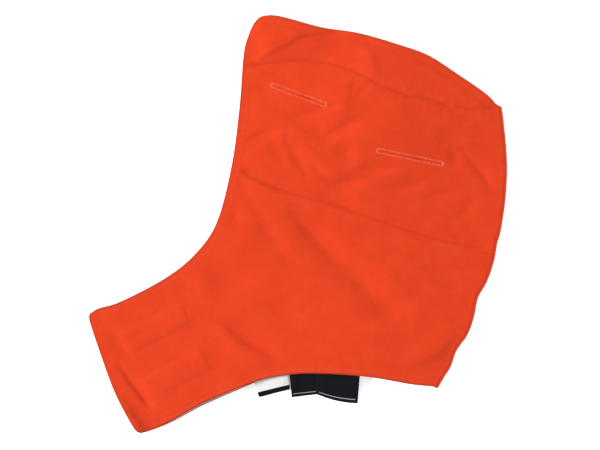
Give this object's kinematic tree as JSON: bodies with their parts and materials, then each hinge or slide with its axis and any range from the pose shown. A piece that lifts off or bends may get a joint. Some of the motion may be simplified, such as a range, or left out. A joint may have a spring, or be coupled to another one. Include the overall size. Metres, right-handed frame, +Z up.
{
  "type": "hard hat liner",
  "caption": "Orange cloth hood worn under a hard hat, lying folded flat on its side, with a chin flap, strap slots, closure tape, pale lining and bare labels at the neck hem.",
  "frame": {"origin": "middle of the liner's outline, on the surface it lies on", "axes": "+Z up off the surface, +Y from the neck hem to the crown, +X from the face opening to the back of the head"},
  "size_m": [0.3848, 0.3852, 0.0184],
  "materials": {
    "shell": "matte woven twill, safety orange",
    "lining": "soft brushed lining, pale grey",
    "tape": "hook and loop tape, orange",
    "label_white": "smooth woven label, white with a plain black end",
    "label_black": "smooth woven label, black"
  },
  "bodies": {
    "root": {"side_left": "shell", "side_right": "shell", "crown": "shell", "lining_left": "lining", "lining_right": "lining", "hook_strip_upper": "tape", "hook_strip_lower": "tape", "loop_strip_upper": "tape", "loop_strip_lower": "tape", "label_white": "label_white", "label_short": "label_black", "label_long": "label_black"}
  },
  "joints": []
}
